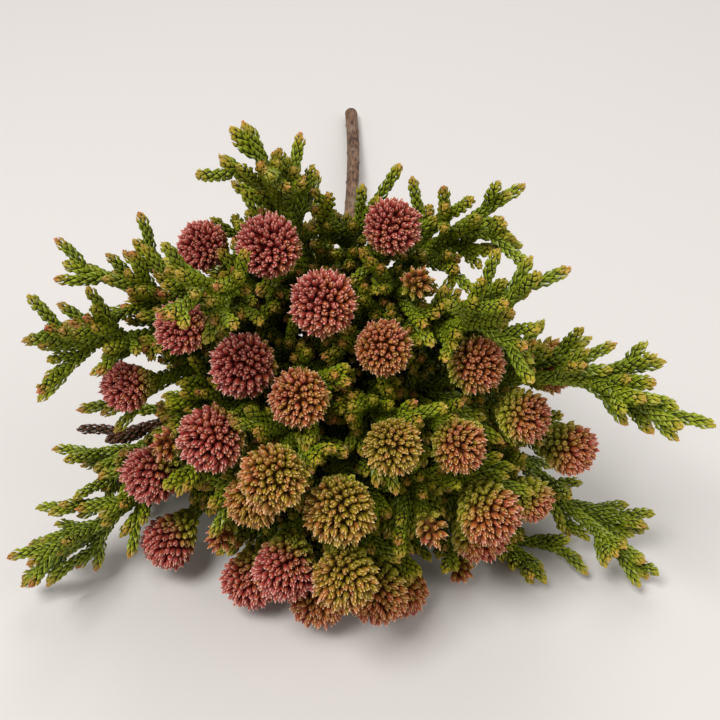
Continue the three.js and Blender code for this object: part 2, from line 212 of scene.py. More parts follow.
# Brown leaves at the foot of the branches, and dry ones on the stalk and at the foot of the leafy axis
BROWNING = 0.3
BROWNING_LENGTH = 60
BROWNING_SPREAD = 0.4
BROWNING_MOST = 0.8
DRYNESS = 1.1
DRYNESS_SPREAD = 0.4
DRYNESS_LENGTH = 24
WITHERED_COUNT = 90
WITHERED_REACH = 16
WITHERED_THINNING = 1.8
WITHERED_LIFT = 11
WITHERED_LIFT_LEAST = 1.3
WITHERED_DEPTH = 0.15
WITHERED_WIDTH = 0.9
WITHERED_LENGTH = 0.85
WITHERED_LENGTH_SPREAD = 0.15

# Pieces that the leaves are made in: name, kinds of twig, and which of so many turns takes its twigs
LEAF_PIECES = (
    ("leaves_on_axis", ("axis", "head_branch"), 0, 1),
    ("leaves_on_branches", ("branch", "shoot"), 0, 1),
    ("leaves_on_shoots", ("fine",), 0, 1),
    ("leaves_on_forks", ("fork",), 0, 2),
    ("leaves_on_more_forks", ("fork",), 1, 2),
)

# Bract, with rings as those of a leaf. The rows are for the levels, from a head's neck at 0 to its top at 1
BRACT_LENGTH = 4.1
BRACT_RINGS = ((0.0, 0.0, 0.0, 0.0), (1.4, 0.68, 0.5, 0.02), (2.8, 0.74, 0.52, 0.0))
BRACT_SIDES = 4
BRACT_LEVELS = (0.0, 0.25, 0.5, 0.72, 0.88, 1.0)
BRACT_LIFTS = (10, 20, 38, 56, 70, 84)
BRACT_LENGTHS = (0.78, 0.85, 0.92, 0.96, 0.96, 0.9)
BRACT_WIDTHS = (1.0, 1.05, 1.05, 1.0, 0.9, 0.75)
BRACT_THICKNESSES = (0.6, 0.75, 0.95, 1.05, 1.1, 1.0)
BRACT_SHARES = (0.55, 0.7, 0.88, 1.0, 1.15, 1.35)
BRACT_WOBBLE = 7
BRACT_SWAY = 0.18
BRACT_SIZE_SPREAD = 0.1

# Bracts stand in tufts of three, each a little shorter than the last
TUFT_LENGTHS = (1.02, 0.89, 0.76)
TUFT_LENGTH_SPREAD = 0.07
TUFT_RADIUS = 0.5
TUFT_CLOSING = 0.03
TUFT_TURN = 2.1
TUFT_STRAY = 0.35
TUFT_START = 0.35
# Least width that counts for the space of a tuft, because the points at the top reach past the axis
LEAST_WIDTH = 0.02
MERIDIAN_POINTS = 160
MERIDIAN_BLUR = 12

# Young heads are slim, with few and narrow bracts
YOUNG_SLIM = 0.5
YOUNG_SCALE = 0.72
YOUNG_LENGTH = 1.5
YOUNG_LENGTH_SPREAD = 0.25

# Core of a head: height and radius from its foot to its top, in head radii
CORE_TOP = 0.6
CORE_OUTLINE = (
    (HEAD_FOOT, 0.22),
    (-1.0, 0.34),
    (-0.6, 0.52),
    (-0.2, 0.64),
    (0.2, 0.62),
    (0.45, 0.45),
    (CORE_TOP, 0.0),
)
CORE_SHOULDER = 0.54
CORE_LEVELS = 11
CORE_SIDES = 18
CORE_STUDS = 0.13
# The core takes the colour that a bract has this far up its own length, a dark one: painted shade in the
# gaps between the tufts
CORE_PAINTED_SHADE_REACH = 0.2

# How red a head is: 0 is ochre, as in the middle of the spray, 0.5 russet and 1 crimson, as to the left
REDNESS = {"young": 0.34, "middle": 0.08, "right": 0.5, "left": 0.9}
REDNESS_SPREAD = 0.1
REDNESS_BY_TONE = 0.08
REDNESS_IN_TUFT = 0.22
MIDDLE_REACH = 22
LEFT_FROM = -12
TOP_FROM = 36
SUN_BLUSH = 0.34
SUN_RIPENING = 0.3
SUN_LEAN = np.array([-0.3, 0, -0.35])
SPRAY_REACH = 45
# How much further up the living green reaches on the heads to the right
UNRIPE = 0.34
UNRIPE_YOUNG = 0.1
UNRIPE_FROM = 8
UNRIPE_RUN = 24
UNRIPE_SPREAD = 0.5

# Stalk. Knots are where twigs have been cut off: how far up, how far round in radians, and size in scars
STALK_SIDES = 28
STALK_RINGS = 220
GUIDE_STEPS = 64
KNOTS = ((38, 1.2, 1.9), (91, 4.4, 2.2), (127, 2.6, 1.7))
SCAR_COUNT = 58
SCAR_REACH = 158
SCAR_START = 0.7
SCAR_STRAY = 0.3
SCAR_WIDTH = 1.15
SCAR_LENGTH = 1.25
SCAR_STEPS = (0.2, 0.45, 0.7, 1.1, 1.6)
SCAR_STEP_SHARE = 1 / 3
SCAR_EDGE = 1.3
BARK_THICKNESS = 0.35
SAWN_EDGE = 0.1
SAWN_DEPTH = 0.12
SQUARE_TO = 0.9
BARK_CREASE = math.radians(50)

# Colours. A row of them runs from the foot of a leaf or bract to its tip
SHOOT_END_COLOURS = ((0.0, "#97A01A"), (0.5, "#C09E28"), (0.8, "#D27E4A"), (1.0, "#F0BCA4"))
RED_END_COLOURS = ((0.0, "#86701A"), (0.5, "#A4502A"), (0.8, "#BC5E48"), (1.0, "#EFB4A2"))
DRY_COLOURS = ((0.0, "#2B1206"), (0.6, "#4E2A16"), (1.0, "#7C5034"))
# Near-black green, painted shade at the foot of each leaf
LEAF_FOOT_PAINTED_SHADE = "#1E2A08"
# The rows for the bracts and their green skirt run dark at the foot: partly their own colour, partly
# painted shade where the bracts overlap
OCHRE_STOPS = ((0.0, "#3E3202"), (0.35, "#5A4A02"), (0.7, "#847004"), (1.0, "#B4962A"))
RUSSET_STOPS = ((0.0, "#4A1804"), (0.35, "#78360A"), (0.7, "#A4541A"), (1.0, "#C88042"))
CRIMSON_STOPS = ((0.0, "#500B08"), (0.35, "#7A1C16"), (0.7, "#A0362C"), (1.0, "#C46858"))
SKIRT_STOPS = ((0.0, "#3E4404"), (0.4, "#7A7A08"), (0.8, "#A6A21E"), (1.0, "#CCC250"))
SKIRT_TIP = "#DCD07A"
BARK_CLEFT = "#2E1B10"
BARK_RIDGE = "#8A6647"
BARK_GREY = "#8C7A66"
SCAR_COLOUR = "#2A190F"
TWIG_BARK_COLOURS = ((0.3, "#1E240A"), (0.7, "#3E4414"))
PITH = "#8A6A3C"
SAPWOOD_RIM = "#A8925A"
GROWTH_RINGS = 5
PAPER = "#D6D2CE"
STUDIO_WHITE = "#F4F1EE"

# Width of the marks in each finish, in millimetres. A stretch under 1 draws them out along its axis.
# Pores and fibres are finer than this on a real stem, and are drawn as coarse as they need to show
LEAF_MOTTLE = 9
LEAF_PORES = 0.3
BRACT_STREAKS = 0.8
BRACT_FLECKS = 1.6
BRACT_FIBRES = 0.25
BARK_SPLITS = 0.8
BARK_SPLIT_STRETCH = (1.0, 0.12, 1.0)
BARK_PATCHES = 6.0
BARK_PATCH_STRETCH = (1.0, 0.5, 1.0)
TWIG_BARK_PATCHES = 1.5
WOOD_FIBRES = 0.4

# How strongly a pattern or a scale's own tone shows in its colour
LEAF_MOTTLING = 0.5
BRACT_FLECKING = 0.9
RIPENING_BY_TONE = 0.1
RING_CONTRAST = 0.06

# Ranges in the finishes: between which two values of a fact, and what it gives there if not 0 and 1
LEAF_MARGIN = (0.55, 1.0, 0.0, 0.75)
# Painted shade on a leaf: up to 0.6 of the near-black green at its foot, gone by 0.55 of its length
LEAF_PAINTED_SHADE_RANGE = (0.1, 0.55, 0.6, 0.0)
TURNING_RUSSET = (0.0, 0.5)
TURNING_CRIMSON = (0.5, 1.0)
RIPENING = (0.25, 0.6)
BRACT_MARGIN = (0.6, 1.0, 0.0, 0.3)
BRACT_POINT = (0.85, 0.97, 0.0, 0.95)
BRACT_ROUGHNESS = (0.3, 0.8, 1.0, 0.34)
BARK_GREYING = (0.45, 0.7, 0.0, 0.55)

# Stage. Each light has its place, its width and its power
FLOOR_SIZE = 8
WORLD_STRENGTH = 0.4
LIGHTS = {
    "key": ((-0.45, -0.55, 1.1), 0.5, 12.6),
    "fill": ((0.9, -0.5, 0.7), 0.9, 4),
    "back": ((0.1, 0.9, 0.9), 0.8, 5),
}
LIGHT_TARGET = (0, -0.08, 0.03)
CAMERA_TARGET = (0.004, -0.1, 0.052)
CAMERA_ELEVATION = math.radians(37)
CAMERA_DISTANCE = 0.262
CAMERA_ANGLE = math.radians(38)
SENSOR_WIDTH = 36
NEAREST_SEEN = 0.01


def noise(index, salt):
    """A number from 0 to 1, always the same for one index and salt. Each use of an index has a salt"""
    value = math.sin(index * 12.9898 + salt * 78.233) * 43758.5453
    return value - math.floor(value)


def spread(index, salt):
    return 2 * noise(index, salt) - 1


def lengths_of(vectors):
    return np.linalg.norm(vectors, axis=-1, keepdims=True)


def unit(vectors):
    return vectors / lengths_of(vectors)


def run_along(points):
    """How far along a line each of its points lies"""
    return np.concatenate([[0], np.cumsum(lengths_of(np.diff(points, axis=0))[:, 0])])


def press(point, low):
    """Lifts a point that would hang lower than the table allows"""
    raised = np.array(point, float)
    raised[2] = low + PRESS_DEPTH * math.log1p(math.exp((raised[2] - low) / PRESS_DEPTH))
    return raised


def blend(first, second, shares):
    return unit(first * shares[0] + second * shares[1])


def sideways(direction, angle):
    """A unit vector square to a direction, turned round it by an angle"""
    right = unit(np.cross(direction, TALL if abs(direction[2]) < STEEP else ACROSS))
    return right * math.cos(angle) + np.cross(direction, right) * math.sin(angle)


class Twig:
    """A twig along a cubic curve of four guide points, with its radius under the leaves at foot and tip"""

    def __init__(self, guides, foot, tip, kind, begin=0.0):
        self.guides = [np.array(guide, float) for guide in guides]
        self.foot = foot
        self.tip = tip
        self.kind = kind
        self.begin = begin
        self.dry = False
        self.headed = kind in ("axis", "head_branch")

    def point(self, share):
        t = np.asarray(share, float)[..., None]
        a, b, c, d = self.guides
        return a * (1 - t) ** 3 + b * 3 * t * (1 - t) ** 2 + c * 3 * t * t * (1 - t) + d * t**3

    def tangent(self, share):
        t = np.asarray(share, float)[..., None]
        a, b, c, d = self.guides
        return unit((b - a) * (1 - t) ** 2 + (c - b) * 2 * t * (1 - t) + (d - c) * t * t)

    def length(self):
        return float(run_along(self.point(np.linspace(0, 1, LENGTH_POINTS)))[-1])


def curve_between(start, leaving, end, arriving, low):
    third = np.linalg.norm(end - start) / 3
    return [start, press(start + leaving * third, low), press(end - arriving * third, low), end]


def place_heads():
    """Heads stand on the dome like the seeds of a sunflower, pushed apart and pressed up by the table"""
    centres, radii = [], []
    for k in range(HEAD_COUNT):
        reach = math.sqrt((k + SPIRAL_START) / HEAD_COUNT) if k else 0
        angle = k * GOLDEN_ANGLE + HEAD_TURN * spread(k, 1)
        ripe = HEAD_RADIUS * (1 - RIPE_SPREAD * noise(k, 3) - RIM_SHRINK * reach)
        radius = YOUNG_HEAD_RADIUS if k in YOUNG_HEADS else ripe
        foot = HEAD_FOOT * (HEAD_RADIUS if k else radius)
        depth = DOME_DEPTH * reach**DOME_POWER + (HEAD_STRAY * spread(k, 2) if k else 0)
        centre = CROWN + FACING * (SEAT - foot - depth)
        centre = centre + ACROSS * (DOME_RADIUS * reach * math.cos(angle))
        centre = centre + UPWARD * (DOME_RADIUS * reach * math.sin(angle))
        centres.append(press(centre, radius + HEAD_LOW) if k else centre)
        radii.append(radius)
    for _ in range(PUSHES):
        for a in range(HEAD_COUNT):
            for b in range(a + 1, HEAD_COUNT):
                apart = centres[b] - centres[a]
                distance = np.linalg.norm(apart)
                short = radii[a] + radii[b] + HEAD_GAP - distance
                if short <= 0:
                    continue
                push = apart / distance * (short / 2)
                centres[b] = centres[b] + push
                if a > 0:
                    centres[a] = centres[a] - push
        for centre, radius in zip(centres, radii):
            centre[2] = max(centre[2], radius + HEAD_LOW)
    hub = CROWN - FACING * HUB_BACK
    heads = []
    for k, (centre, radius) in enumerate(zip(centres, radii)):
        direction = unit(centre - hub) if k else FACING
        neck = centre + direction * (HEAD_FOOT * radius - SEAT) if k else CROWN
        young = radius <= YOUNG_HEAD_RADIUS
        heads.append(Head(centre, radius, direction, neck, young))
    return heads


def head_branch(axis, head, k):
    offset = head.centre - CROWN
    out = offset - FACING * (offset @ FACING)
    reach = min(np.linalg.norm(out) / DOME_RADIUS, WIDEST_REACH)
    share = INNER_BRANCHING - OUTER_BRANCHING * reach - BRANCHING_STRAY * noise(k, 4)
    leaving = blend(axis.tangent(share), unit(out), HEAD_LEAVING)
    guides = curve_between(axis.point(share), leaving, head.neck, head.direction, TWIG_LOW)
    return Twig(guides, AXIS_RADIUS * HEAD_BRANCH_SHARE, head.radius * FOOT_RADIUS, "head_branch")


def spray_branch(axis, q, attempt):
    rests = q < len(TABLE_ANGLES)
    place = (q - len(TABLE_ANGLES) + 0.5) / (SPRAY_BRANCHES - len(TABLE_ANGLES))
    around_rim = RIM_START + (math.pi - 2 * RIM_START) * place + RIM_TURN * spread(q, 5)
    angle = TABLE_ANGLES[q] if rests else around_rim + RIM_STEP * attempt * (1 if attempt % 2 else -1)
    share = TABLE_BRANCH_SHARE if rests else RIM_BRANCHING[0] + RIM_BRANCHING[1] * noise(q, 6 + attempt)
    start = axis.point(share)
    out = ACROSS * math.cos(angle) + UPWARD * math.sin(angle)
    end = start + out * (RIM_RADIUS * (RIM_REACH[0] + RIM_REACH[1] * noise(q, 7)))
    end[1] = CROWN[1] + RIM_DEPTH * noise(q, 8)
    end = press(end, TWIG_LOW)
    leaving = blend(axis.tangent(share), out, RIM_LEAVING)
    arriving = out * RIM_ARRIVING[0] + FACING * RIM_ARRIVING[1]
    arriving[2] = TABLE_RISE if rests else RIM_RISE * arriving[2]
    low = TABLE_LOW if rests else TWIG_LOW
    if rests:
        end[2] = low
    guides = curve_between(start, leaving, end, unit(arriving), low)
    return Twig(guides, BRANCH_CORE, BRANCH_CORE, "branch")


def side_shoot(parent, share, angle, length):
    start = parent.point(share)
    along = parent.tangent(share)
    aside = sideways(along, angle)
    leaving = blend(along, aside, SHOOT_LEAVING)
    arriving = blend(along, aside, SHOOT_ARRIVING)
    end = press(start + leaving * (length / 2) + arriving * (length / 2), TWIG_LOW)
    return curve_between(start, leaving, end, arriving, TWIG_LOW)


class Grower:
    """Adds twigs one by one, and turns or shortens each until it is clear of heads and of other twigs"""

    def __init__(self, heads):
        self.centres = np.array([head.centre for head in heads])
        self.backs = np.array([head.centre - NECK_BACK * head.radius * head.direction for head in heads])
        self.radii = np.array([head.radius for head in heads])
        self.filled = np.zeros((0, 3))
        self.twigs = []
        self.low = np.full(3, -np.inf)
        self.high = np.full(3, np.inf)

    def add(self, twig):
        self.twigs.append(twig)
        steps = math.ceil(twig.length() / SAMPLE_STEP)
        shares = np.arange(steps + 1) / steps
        self.filled = np.vstack([self.filled, twig.point(shares[shares >= twig.begin])])

    def within(self, twig):
        """Whether a twig ends within the reach of the twigs that the solids have"""
        end = twig.point(1.0)
        return (end > self.low - FINE_REACH).all() and (end < self.high + FINE_REACH).all()

    def clear(self, twig, least):
        """Whether a twig keeps away from all heads and their necks, and from the twigs past its own root"""
        space = TWIG_RADIUS + CLEARANCE
        others = self.filled[lengths_of(self.filled - twig.point(0))[:, 0] > OWN_BRANCH]
        points = twig.point(np.arange(FIRST_CHECK, LAST_CHECK + 1) / LAST_CHECK)[:, None]
        heads, necks = self.radii + space, NECK_BALL * self.radii + space
        for middles, radii in ((self.centres, heads), (self.backs, necks), (others, least)):
            if (lengths_of(middles - points)[..., 0] < radii).any():
                return False
        return True

    def grow(self, parent, k, shoots, least, kind):
        count, first_seed, low, high, shortest, longest = shoots
        seed = first_seed + k * SEED_STEP
        for j in range(count):
            share = low + (high - low) * (j + 0.5 + SHOOT_STRAY * spread(seed, j)) / count
            length = shortest + (longest - shortest) * noise(seed, j + LENGTH_SALT)
            for attempt in range(TRIES):
                angle = (seed + j + attempt * SHOOT_TURN) * GOLDEN_ANGLE
                guides = side_shoot(parent, share, angle, length * (1 - SHOOT_CUT * attempt))
                thick = SHOOT_CORE * SLENDER.get(kind, 1)
                twig = Twig(guides, thick, thick, kind)
                twig.dry = parent.dry or len(self.twigs) == DRY_TWIG
                if self.within(twig) and self.clear(twig, least):
                    self.add(twig)
                    yield twig
                    break

    def sprout(self, kind, least, *beds):
        """Shoots of one kind on several sets of branches, each set with its own numbers"""
        grown = []
        for branches, shoots in beds:
            for k, branch in enumerate(branches):
                grown.extend(self.grow(branch, k, shoots, least, kind))
        return grown


def grow_twigs(heads):
    """Every twig of the solids in their order, and then the finer shoots between them"""
    grower = Grower(heads)
    guides = [CUT_END, STALK_PULL, CROWN_PULL, CROWN]
    axis = Twig(guides, AXIS_RADIUS, HEAD_RADIUS * FOOT_RADIUS, "axis", WOOD_SHARE)
    grower.add(axis)
    bearing = [head_branch(axis, head, k) for k, head in enumerate(heads) if k]
    for branch in bearing:
        grower.add(branch)
    leafy = []
    for q in range(SPRAY_BRANCHES):
        for attempt in range(TRIES):
            branch = spray_branch(axis, q, attempt)
            if q < len(TABLE_ANGLES) or grower.clear(branch, 2 * TWIG_RADIUS):
                leafy.append(branch)
                grower.add(branch)
                break
    beds = ((leafy, SPRAY_SHOOTS), (bearing, HEAD_SHOOTS), ([axis], AXIS_SHOOTS))
    shoots = grower.sprout("shoot", 2 * TWIG_RADIUS + CLEARANCE, *beds)
    grower.low, grower.high = grower.filled.min(axis=0), grower.filled.max(axis=0)
    beds = ((bearing, FINE_ON_HEAD_BRANCH), (leafy, FINE_ON_BRANCH), ([axis], FINE_ON_AXIS))
    shoots += grower.sprout("fine", FINE_CLEARANCE, *beds)
    grower.sprout("fork", FINE_CLEARANCE, (shoots, FORKS))
    return grower.twigs


def frame_shift():
    """The plan's origin in the frame: the middle of the cut face, whose first corner points to -X"""
    corners = np.array([v.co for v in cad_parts["woody_stalk"].data.vertices], float) / MM
    cut = corners[corners[:, 1] > corners[:, 1].max() - SAME_LEVEL]
    return np.array([cut[:, 0].min() + WOOD_RADIUS_CUT, cut[:, 1].max(), 0.0])


SHIFT = frame_shift()
HEADS = place_heads()
TWIGS = grow_twigs(HEADS)


def srgb(code):
    """A linear colour from an sRGB hex value"""
    values = [int(code[i : i + 2], 16) / 255 for i in (1, 3, 5)]
    return [v / 12.92 if v <= 0.04045 else ((v + 0.055) / 1.055) ** 2.4 for v in values] + [1.0]


# The steps of a finish: type of node, settings, the inputs that values go to, and the output.
# A mix of colours takes them in its inputs 6 and 7 and gives its result in output 2
NODES = {
    "fact": ("Attribute", {}, (), "Fac"),
    "place": ("TexCoord", {}, (), "Object"),
    "draw out": ("Mapping", {}, ("Vector", "Scale"), "Vector"),
    "noise": ("TexNoise", {}, ("Vector", "Scale", "Detail"), "Fac"),
    "distance": ("VectorMath", {"operation": "DISTANCE"}, (0, 1), "Value"),
    "times": ("Math", {"operation": "MULTIPLY"}, (0, 1), 0),
    "plus": ("Math", {"operation": "ADD"}, (0, 1), 0),
    "plus, from 0 to 1": ("Math", {"operation": "ADD", "use_clamp": True}, (0, 1), 0),
    "times and plus": ("Math", {"operation": "MULTIPLY_ADD"}, (0, 1, 2), 0),
    "sine": ("Math", {"operation": "SINE"}, (0,), 0),
    "range": ("MapRange", {}, ("Value", "From Min", "From Max", "To Min", "To Max"), "Result"),
    "mix": ("Mix", {"data_type": "RGBA"}, (0, 6, 7), 2),
    "ramp": ("ValToRGB", {}, ("Fac",), "Color"),
    "bump": ("Bump", {}, ("Height", "Strength", "Distance"), "Normal"),
}


def fill(tree, node, values):
    """Gives inputs of a node a value each, or a link from the output that is given"""
    for socket, value in values.items():
        if isinstance(value, bpy.types.NodeSocket):
            tree.links.new(value, node.inputs[socket])
        else:
            node.inputs[socket].default_value = value


def add_node(tree, step, *values, stops=(), **settings):
    """Adds a node with its settings, values and links. Each stop of a ramp is a place and a colour"""
    kind, fixed, sockets, output = NODES[step]
    node = tree.nodes.new("ShaderNode" + kind)
    for name, value in {**fixed, **settings}.items():
        setattr(node, name, value)
    fill(tree, node, dict(zip(sockets, values)))
    for _ in stops[2:]:
        node.color_ramp.elements.new(0.5)
    for element, (place, colour) in zip(node.color_ramp.elements if stops else (), stops):
        element.position = place
        element.color = srgb(colour) if isinstance(colour, str) else colour
    return node.outputs[output]


def grain(add, size, detail=3.0, stretch=(1, 1, 1)):
    """Noise with a grain of so many millimetres, drawn out along an axis where its share is under 1"""
    return add("noise", add("draw out", add("place"), stretch), 1 / (size * MM), detail)


def finish(name, colour_of, roughness, relief=None, strength=0.3, height=0.05, specular=0.5):
    """A material: colour_of gives its colour, and relief the noise that makes its bumps, height in mm"""
    material = bpy.data.materials.new(name)
    material.use_nodes = True
    tree = material.node_tree
    add = partial(add_node, tree)
    values = {"Base Color": colour_of(add), "Specular IOR Level": specular}
    values["Roughness"] = roughness(add) if callable(roughness) else roughness
    if relief:
        values["Normal"] = add("bump", relief(add), strength, height * MM)
    fill(tree, tree.nodes["Principled BSDF"], values)
    return material


def leaf_material(look):
    # Living scale leaf: green tissue under a waxy cuticle with a soft gloss, and pale dry margins. Its foot
    # is darkened towards a near-black green, painted shade where it sits among the other leaves
    def colour_of(add):
        names = ("age", "tone", "reach", "edge", "blush", "red", "dry")
        age, tone, reach, edge, blush, red, dry = (add("fact", attribute_name=name) for name in names)
        mottle = add("times and plus", grain(add, LEAF_MOTTLE, 2.0), LEAF_MOTTLING, -LEAF_MOTTLING / 2)
        shade = add("plus, from 0 to 1", add("times and plus", tone, look.variety, age), mottle)
        colour = add("ramp", shade, stops=((0.0, look.old), (0.45, look.middle), (1.0, look.young)))
        colour = add("mix", add("range", edge, *LEAF_MARGIN), colour, look.margin)
        ends = [add("ramp", reach, stops=stops) for stops in (SHOOT_END_COLOURS, RED_END_COLOURS)]
        colour = add("mix", blush, colour, add("mix", red, *ends))
        colour = add("mix", dry, colour, add("ramp", reach, stops=DRY_COLOURS))
        # Painted shade: the foot of each leaf is mixed towards a near-black green
        return add("mix", add("range", reach, *LEAF_PAINTED_SHADE_RANGE), colour, srgb(LEAF_FOOT_PAINTED_SHADE))

    def pores(add):
        return grain(add, LEAF_PORES)

    return finish("waxy_scale_leaf", colour_of, roughness=0.45, relief=pores, specular=0.35)


def bract_material(look):
    # Dry papery bract: matt at its foot, with a soft gloss towards its thin pale point, mottled from ochre
    # to crimson, and living green at the neck of the head. Dark at its foot: partly its own colour, partly
    # painted shade where the bracts overlap
    def colour_of(add):
        names = ("ripe", "tone", "reach", "red", "edge")
        ripe, tone, reach, red, edge = (add("fact", attribute_name=name) for name in names)
        streak = add("times", add("plus", grain(add, BRACT_STREAKS), -0.5), reach)
        # From a bract's foot to its tip: the dark foot is partly painted shade where the bracts overlap
        shade = add("plus, from 0 to 1", add("times and plus", tone, look.variety, reach), streak)
        flecks = add("times and plus", grain(add, BRACT_FLECKS), BRACT_FLECKING, -BRACT_FLECKING / 2)
        red = add("plus", red, flecks)

        def through(ochre, russet, crimson):
            first = add("mix", add("range", red, *TURNING_RUSSET), ochre, russet)
            return add("mix", add("range", red, *TURNING_CRIMSON), first, crimson)

        rows = (OCHRE_STOPS, RUSSET_STOPS, CRIMSON_STOPS)
        body = through(*(add("ramp", shade, stops=row) for row in rows))
        ripe = add("range", add("times and plus", tone, RIPENING_BY_TONE, ripe), *RIPENING)
        colour = add("mix", ripe, add("ramp", shade, stops=SKIRT_STOPS), body)
        tip = through(look.ochre_tip, look.russet_tip, look.crimson_tip)
        tip = add("mix", ripe, srgb(SKIRT_TIP), tip)
        margin = add("times", add("range", edge, *BRACT_MARGIN), reach)
        pale = add("plus, from 0 to 1", add("range", reach, *BRACT_POINT), margin)
        return add("mix", pale, colour, tip)

    def roughness(add):
        return add("range", add("fact", attribute_name="reach"), *BRACT_ROUGHNESS)

    def fibres(add):
        return grain(add, BRACT_FIBRES)

    return finish("papery_bract", colour_of, roughness, fibres, specular=0.32)


def bark_material(look):
    # Thin young bark: dry and matt, grey-brown over red-brown, split lengthwise
    def splits(add):
        return grain(add, BARK_SPLITS, 6.0, BARK_SPLIT_STRETCH)

    def colour_of(add):
        stops = ((0.36, BARK_CLEFT), (0.47, look.bark), (0.66, BARK_RIDGE))
        colour = add("ramp", splits(add), stops=stops)
        mottle = grain(add, BARK_PATCHES, 4.0, BARK_PATCH_STRETCH)
        colour = add("mix", add("range", mottle, *BARK_GREYING), colour, srgb(BARK_GREY))
        return add("mix", add("fact", attribute_name="scar"), colour, srgb(SCAR_COLOUR))

    return finish("young_bark", colour_of, roughness=0.8, relief=splits, strength=1.0, height=0.35)


def twig_bark_material():
    # Green bark of the leafy twigs, seen only between the leaves, where it lies in shade
    def colour_of(add):
        return add("ramp", grain(add, TWIG_BARK_PATCHES), stops=TWIG_BARK_COLOURS)

    return finish("green_twig_bark", colour_of, roughness=0.7)


def cut_wood_material(look, middle):
    # Fresh cut wood: pale and matt, with faint growth rings round a darker pith
    def colour_of(add):
        share = add("times", add("distance", add("place"), middle), 1 / (WOOD_RADIUS_CUT * MM))
        rings = add("sine", add("times", share, GROWTH_RINGS * 2 * math.pi))
        stops = ((0.0, PITH), (0.14, look.wood), (0.8, look.wood), (1.0, SAPWOOD_RIM))
        return add("ramp", add("times and plus", rings, RING_CONTRAST, share), stops=stops)

    def fibres(add):
        return grain(add, WOOD_FIBRES)

    return finish("cut_wood", colour_of, roughness=0.75, relief=fibres)


def add_object(name, data):
    piece = bpy.data.objects.new(name, data)
    bpy.context.scene.collection.objects.link(piece)
    return piece


def only(first, *others):
    """Selects these pieces alone, and makes the first one active"""
    bpy.ops.object.select_all(action="DESELECT")
    for piece in (first, *others):
        piece.select_set(True)
    bpy.context.view_layer.objects.active = first


@contextmanager
def picked(piece, domain, chosen):
    """Edit mode on a piece, with only the chosen vertices, edges or faces selected"""
    bpy.context.view_layer.objects.active = piece
    bpy.ops.object.mode_set(mode="EDIT")
    bpy.ops.mesh.select_mode(type=domain)
    bpy.ops.mesh.select_all(action="DESELECT")
    bpy.ops.object.mode_set(mode="OBJECT")
    kinds = {"VERT": piece.data.vertices, "EDGE": piece.data.edges, "FACE": piece.data.polygons}
    for element in kinds[domain]:
        element.select = bool(chosen(element))
    bpy.ops.object.mode_set(mode="EDIT")
    yield
    bpy.ops.object.mode_set(mode="OBJECT")


def ring_rod(sides, rings, foot, top, length):
    """A rod up from the origin whose long edges are cut into so many rings, with each ring's vertices"""
    bpy.ops.object.select_all(action="DESELECT")
    middle = (0, 0, length / 2)
    bpy.ops.mesh.primitive_cone_add(
        vertices=sides, radius1=foot, radius2=top, depth=length, location=middle)
    rod = bpy.context.object
    bpy.ops.object.transform_apply(location=True, rotation=False, scale=False)
    points = rod.data.vertices

    def is_long(edge):
        first, second = edge.vertices
        return abs(points[first].co.z - points[second].co.z) > length / 2

    with picked(rod, "EDGE", is_long):
        bpy.ops.mesh.subdivide(number_cuts=rings - 2)
    step = length / (rings - 1)
    members = [set() for _ in range(rings)]
    for vertex in rod.data.vertices:
        members[round(vertex.co.z / step)].add(vertex.index)
    return rod, members


def model_scale(sides, rings, length):
    """Models one pointed scale, standing up with its back to +Y, and gives back its points and faces"""
    rod, members = ring_rod(sides, len(rings) + 1, 1, 1, length)
    for ring, (height, half_width, half_thickness, bow) in zip(members, (*rings, (length, 0, 0, 0))):
        level = rod.data.vertices[min(ring)].co.z
        middle = (0, 0, level)
        with picked(rod, "VERT", lambda vertex: vertex.index in ring):
            bpy.ops.transform.resize(value=(half_width, half_thickness, 1), center_override=middle)
            bpy.ops.transform.translate(value=(0, bow, height - level))
    with picked(rod, "VERT", lambda vertex: True):
        bpy.ops.mesh.remove_doubles(threshold=SAME_POINT)
    points = np.array([vertex.co for vertex in rod.data.vertices], float)
    faces = [tuple(face.vertices) for face in rod.data.polygons]
    bpy.data.meshes.remove(rod.data)
    return points, faces


def studded_core():
    """The core of a head, with a stud at every second point, as the young bracts between the tufts"""
    heights = np.linspace(HEAD_FOOT, CORE_SHOULDER, CORE_LEVELS)
    widths = np.interp(heights, *zip(*CORE_OUTLINE))
    rings = [(height, width, width, 0) for height, width in zip(heights, widths)]
    points, faces = model_scale(CORE_SIDES, rings, CORE_TOP)
    level = np.unique(points[:, 2].round(4), return_inverse=True)[1]
    turn = np.round(np.arctan2(points[:, 1], points[:, 0]) / (2 * math.pi / CORE_SIDES))
    points[:, :2] = points[:, :2] * (1 + CORE_STUDS * np.cos(math.pi * (level + turn)))[:, None]
    return points, faces


